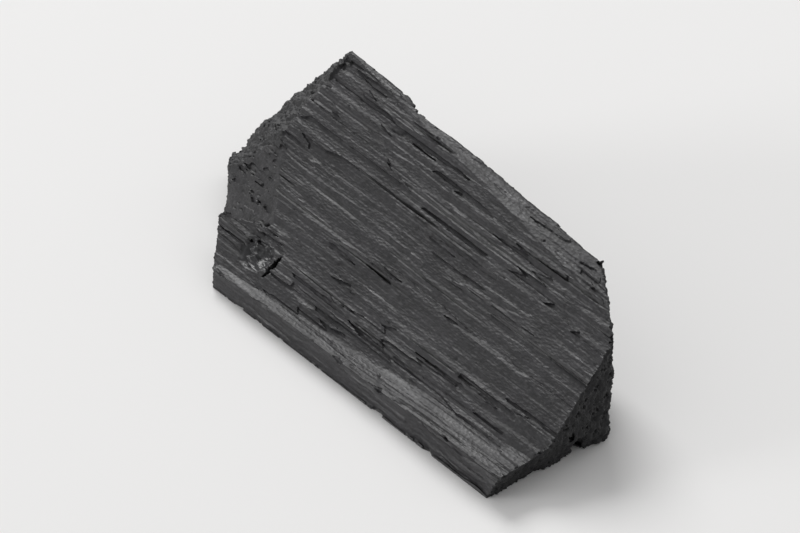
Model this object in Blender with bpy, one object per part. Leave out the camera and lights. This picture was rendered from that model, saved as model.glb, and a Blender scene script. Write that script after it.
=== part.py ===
"""A bamboo charcoal chip: one splinter of a carbonised culm wall, lying on its underside.

The grain runs along X. A broad split face climbs from a thin front edge to a thick back edge, both
ends are broken across the grain, and the left end is hollowed by a small notch. Lengths are in metres.
It is modelled with its front left corner at the origin, and moved to its bottom centre at the end.
"""

import math
import random

import bmesh
import bpy
from mathutils import Euler, Vector, noise

MM = 0.001
NAME = "charcoal_chip"


def at(x, y, z):
    """A place or a set of sizes given in millimetres."""
    return Vector((x, y, z)) * MM


# Driving dimensions
FRONT_LENGTH = 12.25 * MM  # the front edge, corner to corner
LEFT_REACH = 4.0 * MM  # how far the left end runs out past the front edge
LEFT_DEPTH = 3.75 * MM  # and how far back it gets there
WIDTH = 6.4 * MM  # front edge to the furthest point of the back
HEIGHT = 4.2 * MM  # underside to the highest corner, at the left of the back
FRONT_EDGE = 0.56 * MM  # thickness of the front edge at its left corner
SHELF_RISE = 0.0235  # the shelf behind the front edge thickens by this share towards the right
SHELF_SLOPE = 0.05
SHELF_LEFT = 0.27 * MM  # breadth of the shelf at its left end
SHELF_SPREAD = 0.075  # and how fast it broadens towards the right
FACE_SLOPE = math.radians(31)  # the broad split face
BACK_LEAN = math.radians(11)  # the back overhangs the underside by this
END_UNDERCUT = 0.5  # the foot of the right end draws in by this share of its height
LEFT_CREST = at(-1.67, 3.71, 2.65)  # where the broad face, the left bevel and the low flake meet

# Small hollows
NOTCH = at(0.62, 0.95, 1.08)
NOTCH_RADII = at(0.72, 0.50, 0.40)
NOTCH_TURN = (0.3, 0.2, 0.5)
CLEFT = at(1.45, 1.08, 0.90)  # a crack at the notch's right side
CLEFT_RADII = at(0.13, 0.55, 0.26)
CLEFT_TURN = (0.5, 0.0, -0.1)
LUMP_UNEVEN = 0.12
EDGE_NICKS = (
    (at(12.72, 0.35, 0.75), 0.35 * MM),
    (at(12.55, 3.1, 0.1), 0.6 * MM),
    (at(-4.0, 4.1, 1.0), 0.8 * MM),
)
NICK_STRETCH = 1.9  # a nick is this much longer along the grain

# Relief of the grain
BUNDLE_PITCH = 0.52 * MM  # between the fibre bundles of the culm
BUNDLE_RADIUS = 0.21 * MM
BUNDLE_ROW_TURN = math.radians(14)  # the culm's wall, seen along the grain
BUNDLE_JITTER = 0.3  # share of the pitch by which a bundle is out of its row
WANDER = 0.06 * MM  # how far a bundle wanders sideways
WANDER_LENGTH = 5 * MM
RIDGE = 0.055 * MM  # how far a bundle stands out of a split face
LEDGE = 0.10 * MM  # the step where a split jumps to the next layer
LEDGE_LENGTH = 9 * MM
LEDGE_BREADTH = 1.2 * MM
LEDGE_LEVELS = 2.2  # about how many layers a face steps through
BOW = 0.10 * MM  # the slow unevenness of every face
BOW_LENGTH = 4.5 * MM
BREAK_STEP = 0.22 * MM  # how unevenly the bundles end in a cross break
RAGGED = 0.16 * MM  # how far the front edge is worn back at most
RAGGED_LENGTH = 0.8 * MM
THIN_FROM = 0.2 * MM  # the relief fades out towards the thin front edge, between these
THIN_TO = 1.6 * MM

# The flat spot that the chip rests on, an ellipse round its weight
REST_CENTRE = Vector((4.3 * MM, 3.5 * MM))
REST_RADII = Vector((4.6 * MM, 1.6 * MM))
UNDERCUT = 0.10 * MM  # the rest of the underside stands this far off at most
UNDERCUT_RUN = 1.2 * MM
UNDERCUT_LUMP = 1.1 * MM

# Grid that carries the relief
STATION = 0.45 * MM  # along the grain
STRAND = 0.15 * MM  # across the grain
END_CELL = 0.26 * MM  # on the cross breaks
UNDERSIDE_STRAND = 0.45 * MM
WELD = 0.012 * MM

BLOCK_SIDE = 50 * MM
SEED = 41


def clear_scene():
    for old in list(bpy.data.objects):
        bpy.data.objects.remove(old, do_unlink=True)


def new_collection(name):
    made = bpy.data.collections.new(name)
    bpy.context.scene.collection.children.link(made)
    return made


def charcoal():
    material = bpy.data.materials.new("charcoal")
    material.use_nodes = True
    shader = material.node_tree.nodes["Principled BSDF"]
    shader.inputs["Base Color"].default_value = (0.036, 0.035, 0.038, 1)
    shader.inputs["Roughness"].default_value = 0.55
    shader.inputs["Metallic"].default_value = 0.0
    return material


def object_from(bm, name, collection):
    mesh = bpy.data.meshes.new(name)
    bm.to_mesh(mesh)
    bm.free()
    made = bpy.data.objects.new(name, mesh)
    collection.objects.link(made)
    return made


def broken_block(breaks):
    """A block with everything beyond each break gone. A break is a point and an outward normal."""
    bm = bmesh.new()
    bmesh.ops.create_cube(bm, size=BLOCK_SIDE)
    for point, normal in breaks.values():
        everything = bm.verts[:] + bm.edges[:] + bm.faces[:]
        cut = bmesh.ops.bisect_plane(
            bm, geom=everything, plane_co=point, plane_no=normal, clear_outer=True
        )
        rim = [piece for piece in cut["geom_cut"] if isinstance(piece, bmesh.types.BMEdge)]
        bmesh.ops.edgeloop_fill(bm, edges=rim)
    bmesh.ops.recalc_face_normals(bm, faces=bm.faces)
    return bm


def outer_breaks():
    """The flat breaks that bound the chip all round, each a point and an outward normal."""
    left_run = Vector((-LEFT_DEPTH, -LEFT_REACH, 0)).normalized()
    return {
        "underside": (at(0, 0, 0), Vector((0, 0, -1))),
        "front edge": (at(0, 0, 0), Vector((0, -1, 0.10))),
        "back edge": (Vector((0, WIDTH, HEIGHT)), leaning(Vector((0, 1, 0)), BACK_LEAN)),
        "right end": (at(12.74, 1.8, 1.25), Vector((0.966, 0.254, 0.047))),
        "right end, foot": (Vector((FRONT_LENGTH, 0, 0)), Vector((1, 0.06, -END_UNDERCUT))),
        "left end, front": (at(0, 0, 0), left_run),
        "left end, back": (Vector((-LEFT_REACH, LEFT_DEPTH, 0)), Vector((-0.756, 0.655, -0.05))),
        "right back corner": (at(12.13, 4.46, 2.8), Vector((0.50, 0.86, -0.08))),
        "left bevel": (LEFT_CREST, Vector((-0.531, -0.476, 0.701))),
        "back bevel": (at(8.10, 5.38, 3.47), Vector((0.066, -0.10, 0.993))),
    }


def leaning(outward, angle):
    """An outward direction tipped down by angle, so that the side overhangs its foot."""
    return outward * math.cos(angle) - Vector((0, 0, math.sin(angle)))


def split_layer():
    """The layer that split off the top. It leaves the shelf along the front and the broad face behind it."""
    shelf_up = Vector((-SHELF_RISE, -SHELF_SLOPE, 1))
    hinge = Vector((0, SHELF_LEFT, FRONT_EDGE + SHELF_LEFT * SHELF_SLOPE))
    along_hinge = Vector((1, SHELF_SPREAD, SHELF_RISE + SHELF_SPREAD * SHELF_SLOPE))
    up_face = Vector((0, math.cos(FACE_SLOPE), math.sin(FACE_SLOPE)))
    return {"shelf": (hinge, -shelf_up), "broad face": (hinge, up_face.cross(along_hinge))}


def back_flake():
    """The long flake that is missing from the back edge, right of the chip's widest point."""
    return {
        "along the grain": (at(9, 5.78, 0), Vector((0, -1, 0.1))),
        "run out": (Vector((0.45 * MM, WIDTH, HEIGHT)), Vector((-0.19, -0.98, 0.1))),
    }


def low_flake():
    """The flake that is missing from the left end, between the bevel and the notch."""
    return {
        "slope": (LEFT_CREST, Vector((0.303, 0.713, -0.632))),
        "step": (at(-0.6, 1.5, 1), Vector((0.3, -0.95, 0))),
    }


def lump(draw, centre, radii, turn):
    """A faceted, uneven lump, for a hollow that broke out."""
    bm = bmesh.new()
    bmesh.ops.create_icosphere(bm, subdivisions=2, radius=1)
    spin = Euler(turn).to_matrix()
    for vertex in bm.verts:
        swollen = vertex.co * (1 + draw.uniform(-LUMP_UNEVEN, LUMP_UNEVEN))
        vertex.co = centre + spin @ (swollen * radii)
    return bm


def nick(draw, centre, size):
    """A sharp oblong block at a random turn, for a small chip out of an edge."""
    bm = bmesh.new()
    bmesh.ops.create_cube(bm, size=size)
    spin = Euler([draw.uniform(0, math.tau) for _ in range(3)]).to_matrix()
    for vertex in bm.verts:
        vertex.co = centre + (spin @ vertex.co) * Vector((NICK_STRETCH, 1, 1))
    return bm


def broken_out_pieces(collection):
    """Everything that broke out of the chip, a hidden object for each."""
    draw = random.Random(SEED)
    made = [
        object_from(broken_block(split_layer()), "split_layer", collection),
        object_from(broken_block(back_flake()), "back_flake", collection),
        object_from(broken_block(low_flake()), "low_flake", collection),
        object_from(lump(draw, NOTCH, NOTCH_RADII, NOTCH_TURN), "notch", collection),
        object_from(lump(draw, CLEFT, CLEFT_RADII, CLEFT_TURN), "cleft", collection),
    ]
    for centre, size in EDGE_NICKS:
        made.append(object_from(nick(draw, centre, size), "edge_nick", collection))
    for piece in made:
        piece.hide_render = True
        piece.display_type = "WIRE"
    return made


def cut(chip, tools):
    for tool in tools:
        modifier = chip.modifiers.new(tool.name, "BOOLEAN")
        modifier.operation = "DIFFERENCE"
        modifier.solver = "EXACT"
        modifier.object = tool
    graph = bpy.context.evaluated_depsgraph_get()
    mesh = bpy.data.meshes.new_from_object(chip.evaluated_get(graph))
    chip.modifiers.clear()
    chip.data = mesh


def slices(bm, wanted, normal, spacing):
    """Cuts the faces that wanted picks into strips, spacing apart along normal."""
    reach = [vertex.co.dot(normal) for vertex in bm.verts]
    first = math.ceil(min(reach) / spacing)
    last = math.floor(max(reach) / spacing)
    for step in range(first, last + 1):
        faces = [face for face in bm.faces if wanted(face)]
        edges = {edge for face in faces for edge in face.edges}
        corners = {vertex for face in faces for vertex in face.verts}
        bmesh.ops.bisect_plane(
            bm, geom=[*corners, *edges, *faces], plane_co=normal * (step * spacing), plane_no=normal
        )


def is_underside(face):
    return face.normal.z < -0.999


def is_cross_break(face):
    return abs(face.normal.x) > 0.6


def is_long_side(face):
    return not is_underside(face) and not is_cross_break(face)


def lay_grid(bm):
    """Long narrow cells on the long sides, where the relief is drawn out along the grain."""
    along = Vector((1, 0, 0))
    across = Vector((0, 1, 0))
    up = Vector((0, 0, 1))
    bmesh.ops.connect_verts_concave(bm, faces=bm.faces)
    slices(bm, lambda face: not is_cross_break(face), along, STATION)
    slices(bm, lambda face: is_long_side(face) and abs(face.normal.z) > 0.5, across, STRAND)
    slices(bm, lambda face: is_long_side(face) and abs(face.normal.z) <= 0.5, up, STRAND)
    slices(bm, is_cross_break, across, END_CELL)
    slices(bm, is_cross_break, up, END_CELL)
    slices(bm, is_underside, across, UNDERSIDE_STRAND)
    bmesh.ops.remove_doubles(bm, verts=bm.verts, dist=WELD)
    bmesh.ops.dissolve_degenerate(bm, edges=bm.edges, dist=WELD / 4)


def scatter(i, j, k):
    """A repeatable number from 0 to 1 for a cell."""
    wave = math.sin(12.9898 * i + 78.233 * j + 37.719 * k) * 43758.5453
    return wave - math.floor(wave)


def ease(value, low, high):
    """0 below low, 1 above high, and smooth between."""
    share = min(1, max(0, (value - low) / (high - low)))
    return share * share * (3 - 2 * share)


def nearest_bundle(point):
    """(distance to the nearest fibre bundle, its row, its place in the row), seen along the grain."""
    wander = WANDER * noise.noise(Vector((point.x / WANDER_LENGTH, 3.1, 7.7)))
    turn = BUNDLE_ROW_TURN
    u = point.y * math.cos(turn) + point.z * math.sin(turn) + wander
    v = point.z * math.cos(turn) - point.y * math.sin(turn)
    best = (math.inf, 0, 0)
    own_row = math.floor(v / BUNDLE_PITCH)
    for row in (own_row - 1, own_row, own_row + 1):
        stagger = 0.5 * (row % 2)
        own_place = math.floor(u / BUNDLE_PITCH - stagger)
        for place in (own_place - 1, own_place, own_place + 1):
            out_along = BUNDLE_JITTER * (scatter(row, place, 1) - 0.5)
            out_across = BUNDLE_JITTER * (scatter(row, place, 2) - 0.5)
            du = (place + stagger + 0.5 + out_along) * BUNDLE_PITCH - u
            dv = (row + 0.5 + out_across) * BUNDLE_PITCH - v
            best = min(best, (math.hypot(du, dv), row, place))
    return best


def ledge(point):
    """Layers left standing where the split jumped from one to the next."""
    place = Vector((point.x / LEDGE_LENGTH, point.y / LEDGE_BREADTH, point.z / LEDGE_BREADTH))
    level = LEDGE_LEVELS * noise.noise(place + Vector((4.3, 1.7, 9.1)))
    whole = math.floor(level)
    return LEDGE * (whole + ease(level - whole, 0.30, 0.70))


def relief(point, normal):
    """How far the surface stands out at a point, positive outward."""
    distance, row, place = nearest_bundle(point)
    cross = ease(abs(normal.x), 0.5, 0.8)
    bundle = max(0, 1 - (distance / BUNDLE_RADIUS) ** 2)
    along_grain = RIDGE * (bundle - 0.4) + ledge(point)
    across_grain = BREAK_STEP * (scatter(row, place, 3) - 0.5)
    bow = BOW * noise.noise(point / BOW_LENGTH)
    thin = ease(point.z + point.y, THIN_FROM, THIN_TO)
    return thin * (bow + (1 - cross) * along_grain + cross * across_grain)


def ragged(point, normal):
    """How far the front edge is worn back. It is more so towards the right."""
    front = ease(-normal.y, 0.3, 0.8)
    uneven = 0.5 + 0.5 * noise.noise(Vector((point.x, 0, point.z / 2)) / RAGGED_LENGTH)
    return -front * RAGGED * (0.25 + 0.75 * point.x / FRONT_LENGTH) * uneven


def undercut(point):
    """How far the underside is raised. It is 0 on the flat spot and along the front edge."""
    off = Vector(((point.x - REST_CENTRE.x) / REST_RADII.x, (point.y - REST_CENTRE.y) / REST_RADII.y))
    beyond = (off.length - 1) * min(REST_RADII)
    uneven = 0.65 + 0.35 * noise.noise(point / UNDERCUT_LUMP)
    ridge = 0.3 * math.sin(math.tau * point.y / BUNDLE_PITCH) * ease(beyond, 0, UNDERCUT_RUN / 2)
    edge = ease(point.y, 0, THIN_TO)
    return UNDERCUT * edge * max(0, ease(beyond, 0, UNDERCUT_RUN) * (uneven + ridge))


def carve(bm):
    """Moves every vertex out or in by the relief. Vertices of the underside only go up."""
    bm.normal_update()
    moves = []
    for vertex in bm.verts:
        if vertex.co.z < WELD:
            worn = -ragged(vertex.co, vertex.normal)
            moves.append(Vector((0, worn, undercut(vertex.co))))
        else:
            out = relief(vertex.co, vertex.normal) + ragged(vertex.co, vertex.normal)
            moves.append(vertex.normal * out)
    for vertex, move in zip(bm.verts, moves):
        vertex.co += move
        vertex.co.z = max(0, vertex.co.z)


def rest_at_origin(bm):
    """Puts the middle of the underside's box at the origin."""
    low = Vector([min(vertex.co[axis] for vertex in bm.verts) for axis in range(3)])
    high = Vector([max(vertex.co[axis] for vertex in bm.verts) for axis in range(3)])
    middle = Vector(((low.x + high.x) / 2, (low.y + high.y) / 2, low.z))
    bmesh.ops.translate(bm, vec=-middle, verts=bm.verts)


def main():
    clear_scene()
    part = new_collection(NAME)
    broken_out = new_collection("broken_out")
    chip = object_from(broken_block(outer_breaks()), NAME, part)
    chip.data.materials.append(charcoal())
    cut(chip, broken_out_pieces(broken_out))
    bm = bmesh.new()
    bm.from_mesh(chip.data)
    lay_grid(bm)
    carve(bm)
    rest_at_origin(bm)
    bmesh.ops.triangulate(bm, faces=bm.faces)
    bm.to_mesh(chip.data)
    bm.free()


main()
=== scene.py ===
"""The looks of one bamboo charcoal chip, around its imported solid.

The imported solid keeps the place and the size. Its fine surface is made here from the same flat breaks and
the same hollows, at about thirty times as many points, and stands for it. Until it is finished the chip is
in millimetres, with the grain along X and the front left corner of its underside at the origin.
"""

import math
import random

import bmesh
import bpy
import numpy as np
from mathutils import Euler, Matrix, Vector, noise


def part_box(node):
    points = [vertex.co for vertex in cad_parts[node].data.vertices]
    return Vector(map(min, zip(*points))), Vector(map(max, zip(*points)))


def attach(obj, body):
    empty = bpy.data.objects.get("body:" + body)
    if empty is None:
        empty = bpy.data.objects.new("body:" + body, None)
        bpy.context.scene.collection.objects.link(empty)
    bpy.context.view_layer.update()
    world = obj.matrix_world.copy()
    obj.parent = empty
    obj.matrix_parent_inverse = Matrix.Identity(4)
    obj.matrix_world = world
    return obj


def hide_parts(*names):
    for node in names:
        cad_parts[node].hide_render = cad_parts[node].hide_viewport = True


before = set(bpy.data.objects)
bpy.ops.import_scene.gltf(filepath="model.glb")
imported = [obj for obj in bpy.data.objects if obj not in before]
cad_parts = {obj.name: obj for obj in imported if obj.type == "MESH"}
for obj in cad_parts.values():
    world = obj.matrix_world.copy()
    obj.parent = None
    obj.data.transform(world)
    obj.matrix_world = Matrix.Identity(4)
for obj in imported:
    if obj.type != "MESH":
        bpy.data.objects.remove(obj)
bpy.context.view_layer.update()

NODE = "charcoal_chip"
MM = 0.001

# Main form, as in the solid, in millimetres
FRONT_LENGTH = 12.25
LEFT_REACH = 4.0
LEFT_DEPTH = 3.75
WIDTH = 6.4
HEIGHT = 4.2
FRONT_EDGE = 0.56
SHELF_RISE = 0.0235
SHELF_SLOPE = 0.05
SHELF_LEFT = 0.27
SHELF_SPREAD = 0.075
FACE_SLOPE = math.radians(31)
BACK_LEAN = math.radians(11)
END_UNDERCUT = 0.5
LEFT_CREST = Vector((-1.67, 3.71, 2.65))
NOTCH = Vector((0.62, 0.95, 1.08))
NOTCH_RADII = Vector((0.70, 0.46, 0.28))
NOTCH_TURN = (0.3, 0.2, 0.5)
CLEFT = Vector((1.45, 1.08, 0.90))
CLEFT_RADII = Vector((0.07, 0.52, 0.20))
CLEFT_TURN = (0.5, 0.0, -0.1)
LUMP_UNEVEN = 0.12
EDGE_NICKS = (
    (Vector((12.55, 3.1, 0.1)), 0.6),
    (Vector((-4.0, 4.1, 1.0)), 0.8),
)
NICK_STRETCH = 1.9
BLOCK_SIDE = 50
SEED = 41

# Grain, as in the solid
BUNDLE_PITCH = 0.52
BUNDLE_RADIUS = 0.21
BUNDLE_ROW_TURN = math.radians(14)
BUNDLE_JITTER = 0.3
WANDER = 0.06
WANDER_LENGTH = 5
RIDGE = 0.055
LEDGE = 0.05
LEDGE_LENGTH = 9
LEDGE_BREADTH = 1.2
LEDGE_LEVELS = 2.2
BOW = 0.10
BOW_LENGTH = 4.5
BREAK_STEP = 0.16
RAGGED = 0.16
RAGGED_LENGTH = 0.8
THIN_FROM = 0.2
THIN_TO = 1.6
REST_CENTRE = (4.3, 3.5)
REST_RADII = (4.6, 1.6)
UNDERCUT = 0.10
UNDERCUT_RUN = 1.2
UNDERCUT_LUMP = 1.1

# Finer grain, only here
PACK_PITCH = 0.13  # between the packs of fibres that tear as one
PACK_JITTER = 0.6
PACK_RUN = 3.2  # how far along the grain a pack tears, about
PACK_STEP = 0.018
PACK_TAPER = 5  # how slanting a pack tore across, at most
TORN_SHARE = 0.16  # of the packs
FIBRE_DEPTH = 0.004
COLUMN_SOFT = 0.06
VESSEL_RADIUS = 0.042
VESSEL_SPREAD = 0.085  # from a bundle's middle to the vessels beside it, about
VESSEL_TURN = 0.8
PORE_DEPTH = 0.14  # how deep a vessel stands open in a cross break
CRUMBLE = 0.035  # roughness of a cross break
EDGE_CHIPS = 170
EDGE_CHIP_SIZES = (0.05, 0.26)
NOTCH_CRUMBS = 70
CRUMB_SIZES = (0.06, 0.22)
CRUMB_SUNK = 0.6  # of its size, that a crumb's middle lies below the face

VOXEL = 0.03
MOST_TRIANGLES = 190_000
SHARP = math.radians(50)

# A Mix node has sockets of the same name for each kind of value, so its colour sockets go by number.
COLOR_A = 6
COLOR_B = 7
COLOR_MIXED = 2


def leaning(outward, angle):
    return outward * math.cos(angle) - Vector((0, 0, math.sin(angle)))


def outer_breaks():
    """The flat breaks that bound the chip all round, each a point and an outward normal."""
    left_run = Vector((-LEFT_DEPTH, -LEFT_REACH, 0)).normalized()
    return {
        "underside": (Vector((0, 0, 0)), Vector((0, 0, -1))),
        "front edge": (Vector((0, 0, 0)), Vector((0, -1, 0.10))),
        "back edge": (Vector((0, WIDTH, HEIGHT)), leaning(Vector((0, 1, 0)), BACK_LEAN)),
        "right end": (Vector((12.74, 1.8, 1.25)), Vector((0.966, 0.254, 0.047))),
        "right end, foot": (Vector((FRONT_LENGTH, 0, 0)), Vector((1, 0.06, -END_UNDERCUT))),
        "left end, front": (Vector((0, 0, 0)), left_run),
        "left end, back": (Vector((-LEFT_REACH, LEFT_DEPTH, 0)), Vector((-0.756, 0.655, -0.05))),
        "right back corner": (Vector((12.13, 4.46, 2.8)), Vector((0.50, 0.86, -0.08))),
        "left bevel": (LEFT_CREST, Vector((-0.531, -0.476, 0.701))),
        "back bevel": (Vector((8.10, 5.38, 3.47)), Vector((0.066, -0.10, 0.993))),
    }


def split_layer():
    shelf_up = Vector((-SHELF_RISE, -SHELF_SLOPE, 1))
    hinge = Vector((0, SHELF_LEFT, FRONT_EDGE + SHELF_LEFT * SHELF_SLOPE))
    along_hinge = Vector((1, SHELF_SPREAD, SHELF_RISE + SHELF_SPREAD * SHELF_SLOPE))
    up_face = Vector((0, math.cos(FACE_SLOPE), math.sin(FACE_SLOPE)))
    return {"shelf": (hinge, -shelf_up), "broad face": (hinge, up_face.cross(along_hinge))}


def back_flake():
    return {
        "along the grain": (Vector((9, 5.78, 0)), Vector((0, -1, 0.1))),
        "run out": (Vector((0.45, WIDTH, HEIGHT)), Vector((-0.19, -0.98, 0.1))),
    }


def low_flake():
    return {
        "slope": (LEFT_CREST, Vector((0.303, 0.713, -0.632))),
        "step": (Vector((-0.6, 1.5, 1)), Vector((0.3, -0.95, 0))),
    }


def object_from(bm, name):
    mesh = bpy.data.meshes.new(name)
    bm.to_mesh(mesh)
    bm.free()
    made = bpy.data.objects.new(name, mesh)
    bpy.context.scene.collection.objects.link(made)
    return made


def broken_block(breaks):
    """A block with everything beyond each break gone."""
    bm = bmesh.new()
    bmesh.ops.create_cube(bm, size=BLOCK_SIDE)
    for point, normal in breaks.values():
        everything = bm.verts[:] + bm.edges[:] + bm.faces[:]
        cut = bmesh.ops.bisect_plane(
            bm, geom=everything, plane_co=point, plane_no=normal, clear_outer=True
        )
        rim = [piece for piece in cut["geom_cut"] if isinstance(piece, bmesh.types.BMEdge)]
        bmesh.ops.edgeloop_fill(bm, edges=rim)
    bmesh.ops.recalc_face_normals(bm, faces=bm.faces)
    return bm


def lump(draw, centre, radii, turn):
    bm = bmesh.new()
    bmesh.ops.create_icosphere(bm, subdivisions=2, radius=1)
    spin = Euler(turn).to_matrix()
    for vertex in bm.verts:
        swollen = vertex.co * (1 + draw.uniform(-LUMP_UNEVEN, LUMP_UNEVEN))
        vertex.co = centre + spin @ (swollen * radii)
    return bm


def nick(draw, centre, size):
    bm = bmesh.new()
    bmesh.ops.create_cube(bm, size=size)
    spin = Euler([draw.uniform(0, math.tau) for _ in range(3)]).to_matrix()
    for vertex in bm.verts:
        vertex.co = centre + (spin @ vertex.co) * Vector((NICK_STRETCH, 1, 1))
    return bm


def cut_away(chip, tools):
    """Takes the tools out of the chip, and removes them."""
    for tool in tools:
        modifier = chip.modifiers.new(tool.name, "BOOLEAN")
        modifier.operation = "DIFFERENCE"
        modifier.solver = "EXACT"
        modifier.object = tool
    take_modifiers(chip)
    for tool in tools:
        bpy.data.objects.remove(tool)


def take_modifiers(chip):
    graph = bpy.context.evaluated_depsgraph_get()
    mesh = bpy.data.meshes.new_from_object(chip.evaluated_get(graph))
    chip.modifiers.clear()
    chip.data = mesh


def join(chip, pieces):
    """Adds the pieces to the chip, and removes them. The remesh makes one skin of them."""
    bm = bmesh.new()
    bm.from_mesh(chip.data)
    for piece in pieces:
        bm.from_mesh(piece.data)
        bpy.data.objects.remove(piece)
    bm.to_mesh(chip.data)
    bm.free()


def notch_crumbs(draw):
    """Angular bits that are left standing in the notch, each of them below the broad face."""
    spin = Euler(NOTCH_TURN).to_matrix()
    hinge, inward = split_layer()["broad face"]
    crumbs = []
    for _ in range(NOTCH_CRUMBS):
        way = Vector([draw.uniform(-1, 1), draw.uniform(-1, 1), draw.uniform(-1, -0.2)]).normalized()
        place = NOTCH + spin @ (way * NOTCH_RADII) * draw.uniform(0.9, 1.05)
        size = draw.uniform(*CRUMB_SIZES)
        depth = (place - hinge).dot(inward.normalized())
        if depth > CRUMB_SUNK * size:
            crumbs.append(object_from(nick(draw, place, size), "crumb"))
    return crumbs


def edge_chips(draw, mesh):
    """Small blocks along the sharp edges, where splinters broke off. More of them are small than large."""
    bm = bmesh.new()
    bm.from_mesh(mesh)
    edges = [edge for edge in bm.edges if edge.calc_face_angle(0) > math.radians(30)]
    lengths = [edge.calc_length() for edge in edges]
    tools = []
    for edge in draw.choices(edges, lengths, k=EDGE_CHIPS):
        start, end = (vertex.co for vertex in edge.verts)
        small, large = EDGE_CHIP_SIZES
        size = small + (large - small) * draw.random() ** 3
        out = sum((face.normal for face in edge.link_faces), Vector()).normalized()
        place = start.lerp(end, draw.random()) + out * size * draw.uniform(0.1, 0.45)
        tools.append(object_from(nick(draw, place, size), "edge_chip"))
    bm.free()
    return tools


def blank():
    """The chip with flat faces, as the solid is before its relief, and chipped along its edges."""
    draw = random.Random(SEED)
    chip = object_from(broken_block(outer_breaks()), "chip")
    cut_away(chip, [
        object_from(broken_block(split_layer()), "split_layer"),
        object_from(broken_block(back_flake()), "back_flake"),
        object_from(broken_block(low_flake()), "low_flake"),
        object_from(lump(draw, NOTCH, NOTCH_RADII, NOTCH_TURN), "notch"),
        object_from(lump(draw, CLEFT, CLEFT_RADII, CLEFT_TURN), "cleft"),
        *[object_from(nick(draw, centre, size), "edge_nick") for centre, size in EDGE_NICKS],
    ])
    cut_away(chip, edge_chips(draw, chip.data))
    join(chip, notch_crumbs(draw))
    return chip


def refine(chip):
    modifier = chip.modifiers.new("fine", "REMESH")
    modifier.mode = "VOXEL"
    modifier.voxel_size = VOXEL
    take_modifiers(chip)
    drop_scraps(chip)


def drop_scraps(chip):
    """Leaves only the largest body of the mesh."""
    bm = bmesh.new()
    bm.from_mesh(chip.data)
    unseen = set(bm.verts)
    bodies = []
    while unseen:
        body = [unseen.pop()]
        for vertex in body:
            beside = {edge.other_vert(vertex) for edge in vertex.link_edges} & unseen
            unseen -= beside
            body.extend(beside)
        bodies.append(body)
    bodies.sort(key=len)
    scraps = [vertex for body in bodies[:-1] for vertex in body]
    bmesh.ops.delete(bm, geom=scraps, context="VERTS")
    bm.to_mesh(chip.data)
    bm.free()


def ease(value, low, high):
    share = np.clip((value - low) / (high - low), 0, 1)
    return share * share * (3 - 2 * share)


def scatter(i, j, k):
    """A repeatable number from 0 to 1 for a cell."""
    wave = np.sin(12.9898 * i + 78.233 * j + 37.719 * k) * 43758.5453
    return wave - np.floor(wave)


def cloud(points):
    """Smooth noise from about -1 to 1 at each row of points."""
    return np.array([noise.noise(Vector(point)) for point in points.tolist()])


def nearest_cell(u, v, pitch, jitter, key):
    """(row, place, aside, above, gap) of the nearest cell middle in a staggered, uneven grid.

    aside and above lead from the point to the middle. gap is how much further the next cell is.
    """
    first = np.full(len(u), np.inf)
    second = np.full(len(u), np.inf)
    found = [np.zeros(len(u)) for _ in range(4)]
    own_row = np.floor(v / pitch)
    for row in (own_row - 1, own_row, own_row + 1):
        stagger = 0.5 * (row % 2)
        own_place = np.floor(u / pitch - stagger)
        for place in (own_place - 1, own_place, own_place + 1):
            out_along = jitter * (scatter(row, place, key) - 0.5)
            out_across = jitter * (scatter(row, place, key + 1) - 0.5)
            aside = (place + stagger + 0.5 + out_along) * pitch - u
            above = (row + 0.5 + out_across) * pitch - v
            distance = np.hypot(aside, above)
            nearer = distance < first
            second = np.where(nearer, first, np.minimum(second, distance))
            first = np.where(nearer, distance, first)
            for kept, new in zip(found, (row, place, aside, above)):
                kept[nearer] = new[nearer]
    return *found, second - first


class Grain:
    """Where points lie in the culm: u along the rows of bundles and v across them, seen along the grain."""

    def __init__(self, points):
        self.points = points
        self.x, y, z = points.T
        lane = np.stack([self.x / WANDER_LENGTH, np.full(len(y), 3.1), np.full(len(y), 7.7)], axis=1)
        self.u = y * math.cos(BUNDLE_ROW_TURN) + z * math.sin(BUNDLE_ROW_TURN) + WANDER * cloud(lane)
        self.v = z * math.cos(BUNDLE_ROW_TURN) - y * math.sin(BUNDLE_ROW_TURN)
        self.row, self.place, self.aside, self.above, self.gap = nearest_cell(
            self.u, self.v, BUNDLE_PITCH, BUNDLE_JITTER, 1
        )

    def bundle(self):
        """1 in the middle of a fibre bundle, 0 outside."""
        return np.maximum(0, 1 - (np.hypot(self.aside, self.above) / BUNDLE_RADIUS) ** 2)

    def vessel(self):
        """1 in the middle of a vessel, 0 outside. A bundle has two side by side and one below."""
        nearest = np.full(len(self.x), np.inf)
        turn = VESSEL_TURN * (2 * scatter(self.row, self.place, 5) - 1)
        for key, toward in enumerate((0, math.pi, -math.pi / 2)):
            spread = VESSEL_SPREAD * (0.7 + 0.6 * scatter(self.row, self.place, 6 + key))
            aside = self.aside - spread * np.cos(turn + toward)
            above = self.above - spread * np.sin(turn + toward)
            width = 0.6 + 0.7 * scatter(self.row, self.place, 16 + key)
            nearest = np.minimum(nearest, np.hypot(aside, above) / width)
        return np.maximum(0, 1 - (nearest / VESSEL_RADIUS) ** 2)


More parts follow.
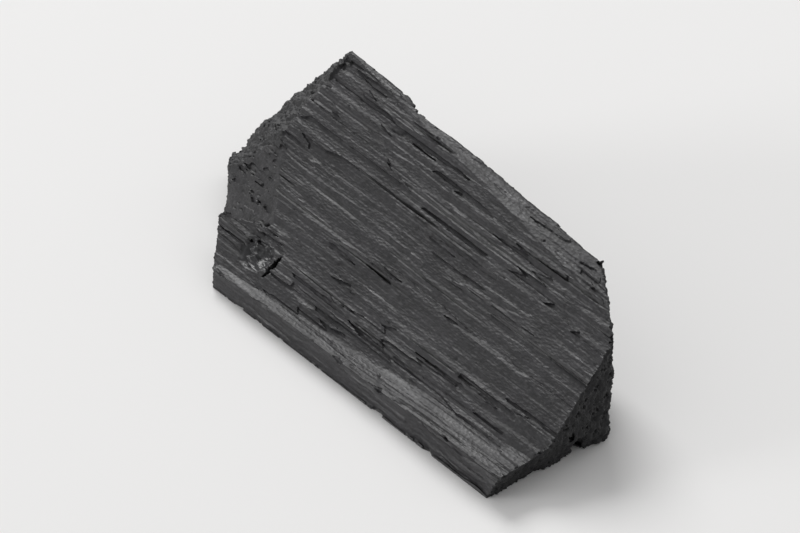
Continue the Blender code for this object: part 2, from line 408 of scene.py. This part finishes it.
class Packs:
    """Packs of fibres. A split follows their sides, and jumps to another depth where a pack tore across."""

    def __init__(self, grain):
        self.row, self.place, aside, above, self.gap = nearest_cell(
            grain.u, grain.v, PACK_PITCH, PACK_JITTER, 11
        )
        run = PACK_RUN * (0.4 + 1.2 * scatter(self.row, self.place, 21))
        shift = scatter(self.row, self.place, 22)
        taper = PACK_TAPER * (2 * scatter(self.row, self.place, 26) - 1) * (aside + above)
        self.segment = np.floor((grain.x + taper) / run + shift)
        u = grain.u + aside
        v = grain.v + above
        y = u * math.cos(BUNDLE_ROW_TURN) - v * math.sin(BUNDLE_ROW_TURN)
        z = u * math.sin(BUNDLE_ROW_TURN) + v * math.cos(BUNDLE_ROW_TURN)
        self.middles = np.stack([(self.segment + 0.5 - shift) * run, y, z], axis=1)

    def chance(self, key):
        return scatter(self.row + 31 * self.segment, self.place, key)


def ledges(packs):
    """Layers left standing where the split jumped from one to the next."""
    level = cloud(packs.middles / (LEDGE_LENGTH, LEDGE_BREADTH, LEDGE_BREADTH) + (4.3, 1.7, 9.1))
    return LEDGE * (np.floor(LEDGE_LEVELS * level) + 0.5)


def splinters(packs):
    """Single packs that tore off deeper, or were left standing."""
    chance = packs.chance(23)
    torn = np.where(chance < TORN_SHARE, -1.0, np.where(chance > 1 - TORN_SHARE / 2, 0.8, 0.0))
    return PACK_STEP * (torn + 0.35 * (packs.chance(24) - 0.5))


def fibres(points):
    """Fine straight lines along the grain."""
    return FIBRE_DEPTH * (cloud(points / (9, 0.07, 0.07)) + 0.6 * cloud(points / (5, 0.035, 0.035) + 8.3))


def relief(grain, packs, normals):
    """How far the surface stands out at each point."""
    points = grain.points
    cross = cross_share(normals)
    vessel = grain.vessel()
    standing = 0.2 + 0.6 * scatter(grain.row, grain.place, 4)
    thin = ease(points[:, 2] + points[:, 1], THIN_FROM, THIN_TO)

    calm = 1 - in_notch(points)
    along = RIDGE * standing * (grain.bundle() - 0.4) + ledges(packs)
    fine_along = splinters(packs) + fibres(points) - VESSEL_RADIUS * vessel
    column = BREAK_STEP * (scatter(grain.row, grain.place, 3) - 0.5) * ease(grain.gap, 0, 3 * COLUMN_SOFT)
    ends = CRUMBLE * (packs.chance(25) - 0.5) * ease(packs.gap, 0, COLUMN_SOFT / 3)
    crumbs = CRUMBLE * (cloud(points / (0.25, 0.10, 0.10)) + 0.6 * cloud(points / (0.12, 0.05, 0.05) + 2.9))
    fine_across = 1.6 * ends + 1.3 * crumbs - PORE_DEPTH * vessel

    bow = BOW * cloud(points / BOW_LENGTH)
    coarse = bow + (1 - cross) * along + cross * column
    fine = (1 - cross) * fine_along + cross * fine_across
    return calm * (thin * coarse + fine)


def cross_share(normals):
    """1 where a face is broken across the grain, 0 where it is split along it."""
    return ease(np.abs(normals[:, 0]), 0.3, 0.6)


def in_notch(points):
    """1 inside the notch, 0 away from it."""
    turned = (points - NOTCH) @ np.array(Euler(NOTCH_TURN).to_matrix())
    return 1 - ease(np.linalg.norm(turned / NOTCH_RADII, axis=1), 0.9, 1.25)


def ragged(points, normals):
    front = ease(-normals[:, 1], 0.3, 0.8)
    place = points / (RAGGED_LENGTH, 1, 2 * RAGGED_LENGTH) * (1, 0, 1)
    uneven = 0.5 + 0.5 * cloud(place) + 0.12 * cloud(points / (0.9, 0.2, 0.12))
    return -front * RAGGED * (0.25 + 0.75 * points[:, 0] / FRONT_LENGTH) * uneven


def undercut(grain, packs):
    x, y, _ = grain.points.T
    off = np.hypot((x - REST_CENTRE[0]) / REST_RADII[0], (y - REST_CENTRE[1]) / REST_RADII[1])
    beyond = (off - 1) * min(REST_RADII)
    uneven = 0.65 + 0.35 * cloud(grain.points / UNDERCUT_LUMP)
    ridge = 0.3 * np.sin(math.tau * y / BUNDLE_PITCH) * ease(beyond, 0, UNDERCUT_RUN / 2)
    torn = (0.04 + splinters(packs) + fibres(grain.points)) * ease(beyond, 0, UNDERCUT_RUN / 3)
    edge = ease(y, 0, THIN_TO)
    return edge * np.maximum(0, UNDERCUT * ease(beyond, 0, UNDERCUT_RUN) * (uneven + ridge) + torn)


def vertex_rows(mesh):
    points = np.empty(len(mesh.vertices) * 3, np.float32)
    mesh.vertices.foreach_get("co", points)
    return points.reshape(-1, 3).astype(float)


def carve(chip):
    """Gives the fine mesh its relief."""
    mesh = chip.data
    points = vertex_rows(mesh)
    normals = np.empty(len(points) * 3, np.float32)
    mesh.vertex_normals.foreach_get("vector", normals)
    normals = normals.reshape(-1, 3).astype(float)
    grain = Grain(points)
    packs = Packs(grain)
    out = relief(grain, packs, normals) + ragged(points, normals)
    under = ease(-normals[:, 2], 0.7, 0.95)
    moved = points + normals * (out * (1 - under))[:, None]
    moved[:, 2] = np.maximum(0, moved[:, 2] + under * undercut(grain, packs))
    mesh.vertices.foreach_set("co", moved.ravel())
    mesh.update()
    maps = {
        # The cross break map also gives the ends a darker colour, which is painted shade.
        "cross_break": cross_share(normals),
        # The vessel map also places painted shade: the material paints the open pores near black.
        "vessel": grain.vessel(),
        "bundle": grain.bundle(),
        # In the notch: real gloss through lower roughness, and a lighter colour that is a painted glint.
        "glassy_and_painted_glint": in_notch(points),
    }
    for name, values in maps.items():
        layer = mesh.attributes.new(name, "FLOAT", "POINT")
        layer.data.foreach_set("value", values.astype(np.float32))


def thin_out(chip):
    """Fewer triangles where the surface is plain."""
    triangles = 2 * len(chip.data.polygons)
    modifier = chip.modifiers.new("thin_out", "DECIMATE")
    modifier.ratio = min(1, MOST_TRIANGLES / triangles)
    modifier.use_collapse_triangulate = True
    take_modifiers(chip)


def settle(chip):
    """Puts the chip, in metres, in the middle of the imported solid's box, with no tip outside it."""
    low, high = (np.array(corner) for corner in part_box(NODE))
    mesh = chip.data
    points = vertex_rows(mesh) * MM
    middle = (points.min(axis=0) + points.max(axis=0)) / 2
    middle[2] = points[:, 2].min()
    home = (low + high) / 2
    home[2] = low[2]
    points = np.clip(points - middle + home, low, high)
    mesh.vertices.foreach_set("co", points.ravel())
    mesh.update()
    mesh.shade_smooth()
    mesh.set_sharp_from_angle(angle=SHARP)


class Nodes:
    """A material's or a world's nodes, made and joined in short calls."""

    def __init__(self, tree):
        self.tree = tree

    def add(self, kind, settings=None, **inputs):
        node = self.tree.nodes.new("ShaderNode" + kind)
        for name, value in (settings or {}).items():
            setattr(node, name, value)
        for name, value in inputs.items():
            self.set(node, name.replace("_", " "), value)
        return node

    def set(self, node, name, value):
        socket = node.inputs[name]
        if isinstance(value, bpy.types.NodeSocket):
            self.tree.links.new(value, socket)
        else:
            socket.default_value = value

    def between(self, value, from_low, from_high, to_low, to_high):
        limits = {"From_Min": from_low, "From_Max": from_high, "To_Min": to_low, "To_Max": to_high}
        return self.add("MapRange", Value=value, **limits).outputs["Result"]

    def ramp(self, value, low, low_color, high, high_color):
        node = self.add("ValToRGB", Fac=value)
        for element, place, color in zip(node.color_ramp.elements, (low, high), (low_color, high_color)):
            element.position = place
            element.color = (*color, 1)
        return node.outputs["Color"]

    def scaled(self, color, factor):
        node = self.add("VectorMath", {"operation": "SCALE"}, Vector=color, Scale=factor)
        return node.outputs["Vector"]

    def mixed(self, share, color, other):
        node = self.add("Mix", {"data_type": "RGBA"}, Factor=share)
        self.set(node, COLOR_A, color)
        self.set(node, COLOR_B, other)
        return node.outputs[COLOR_MIXED]

    def sum_of(self, value, weight, other, other_weight):
        scaled = self.add("Math", {"operation": "MULTIPLY"})
        self.set(scaled, 0, other)
        self.set(scaled, 1, other_weight)
        node = self.add("Math", {"operation": "MULTIPLY_ADD"})
        self.set(node, 0, value)
        self.set(node, 1, weight)
        self.set(node, 2, scaled.outputs["Value"])
        return node.outputs["Value"]


def charcoal():
    material = bpy.data.materials.new("charcoal")
    material.use_nodes = True
    nodes = Nodes(material.node_tree)
    shader = material.node_tree.nodes["Principled BSDF"]
    place = nodes.add("TexCoord").outputs["Object"]
    along = nodes.add("Mapping", Vector=place, Scale=(350, 9000, 9000)).outputs["Vector"]
    cells = nodes.add("Mapping", Vector=place, Scale=(7000, 14000, 14000)).outputs["Vector"]
    streaks = nodes.add("TexNoise", Vector=along, Scale=1.0, Detail=5.0, Roughness=0.6).outputs["Fac"]
    blotch = nodes.add("TexNoise", Vector=place, Scale=700.0, Detail=4.0, Roughness=0.6).outputs["Fac"]
    speckle = nodes.add("TexNoise", Vector=place, Scale=5200.0, Detail=3.0, Roughness=0.65).outputs["Fac"]
    foam = nodes.add("TexVoronoi", {"feature": "F1"}, Vector=cells, Scale=1.0).outputs["Distance"]
    cross, vessel, bundle, glassy_and_painted_glint = (
        nodes.add("Attribute", {"attribute_name": name}).outputs["Fac"]
        for name in ("cross_break", "vessel", "bundle", "glassy_and_painted_glint")
    )

    tone = nodes.ramp(streaks, 0.30, (0.0105, 0.0101, 0.0114), 0.72, (0.0185, 0.0179, 0.0196))
    sooty = nodes.between(blotch, 0.35, 0.65, 0.8, 1.25)
    mottled = nodes.between(speckle, 0.35, 0.7, 0.75, 1.6)
    toned = nodes.scaled(nodes.scaled(tone, sooty), mottled)
    # Cross breaks get a flat colour, slightly darker than the split faces: painted shade standing for the
    # light their pores trap.
    broken = nodes.mixed(cross, toned, (0.013, 0.013, 0.014, 1))
    # Lighter colour in the notch: a painted glint on its glassy crumbs, which are also made glossier below.
    with_painted_glint = nodes.mixed(glassy_and_painted_glint, broken, (0.030, 0.030, 0.032, 1))
    # Near black in the open vessels: painted shade inside the pores.
    nodes.set(shader, "Base Color", nodes.mixed(vessel, with_painted_glint, (0.003, 0.003, 0.003, 1)))

    sheen = nodes.between(streaks, 0.3, 0.7, 0.60, 0.40)
    dull = nodes.add("Mix", Factor=cross, A=sheen, B=0.6).outputs["Result"]
    nodes.set(shader, "Roughness", nodes.add("Mix", Factor=glassy_and_painted_glint, A=dull, B=0.30).outputs["Result"])
    shader.inputs["IOR"].default_value = 1.42

    pits = nodes.sum_of(foam, 0.8, speckle, 0.8)
    rough = nodes.sum_of(pits, 1.0, streaks, 1.2)
    bump = nodes.add("Bump", Strength=0.7, Distance=0.00002, Height=rough)
    nodes.set(shader, "Normal", bump.outputs["Normal"])
    return material


def floor():
    bm = bmesh.new()
    bmesh.ops.create_grid(bm, x_segments=1, y_segments=1, size=1.5)
    made = object_from(bm, "floor")
    made.location.z = -0.01 * MM
    material = bpy.data.materials.new("floor")
    material.use_nodes = True
    shader = material.node_tree.nodes["Principled BSDF"]
    shader.inputs["Base Color"].default_value = (0.86, 0.855, 0.85, 1)
    shader.inputs["Roughness"].default_value = 0.9
    made.data.materials.append(material)


def from_view(azimuth, elevation, distance):
    """A place seen from the origin. Azimuth 0 is on the -Y side and 90 on the +X side."""
    a = math.radians(azimuth)
    e = math.radians(elevation)
    return Vector((math.sin(a) * math.cos(e), -math.cos(a) * math.cos(e), math.sin(e))) * distance


def area_light(name, azimuth, elevation, distance, size, power):
    data = bpy.data.lights.new(name, "AREA")
    data.shape = "DISK"
    data.size = size
    data.energy = power
    light = bpy.data.objects.new(name, data)
    bpy.context.scene.collection.objects.link(light)
    light.location = from_view(azimuth, elevation, distance)
    light.rotation_mode = "QUATERNION"
    light.rotation_quaternion = (-light.location).to_track_quat("-Z", "Y")
    light.visible_camera = False


def studio():
    world = bpy.data.worlds.new("studio")
    bpy.context.scene.world = world
    world.use_nodes = True
    background = world.node_tree.nodes["Background"]
    background.inputs["Color"].default_value = (1.0, 1.0, 1.0, 1)
    background.inputs["Strength"].default_value = 0.50
    area_light("key", azimuth=-112, elevation=38, distance=0.5, size=0.25, power=1.65)
    area_light("front", azimuth=-28, elevation=9, distance=0.5, size=0.2, power=1.1)
    bpy.context.scene.view_settings.view_transform = "Standard"


def camera():
    data = bpy.data.cameras.new("camera")
    data.lens = 330
    data.clip_start = 0.01
    data.clip_end = 3
    made = bpy.data.objects.new("camera", data)
    bpy.context.scene.collection.objects.link(made)
    target = Vector((0.0, 0.0, 1.75)) * MM
    back = from_view(52.5, 35, 0.2)
    made.location = target + back
    made.rotation_mode = "QUATERNION"
    made.rotation_quaternion = (-back).to_track_quat("-Z", "Y")
    bpy.context.scene.camera = made


chip = blank()
refine(chip)
carve(chip)
thin_out(chip)
settle(chip)
chip.data.materials.clear()
chip.data.materials.append(charcoal())
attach(chip, "root")
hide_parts(NODE)
floor()
studio()
camera()
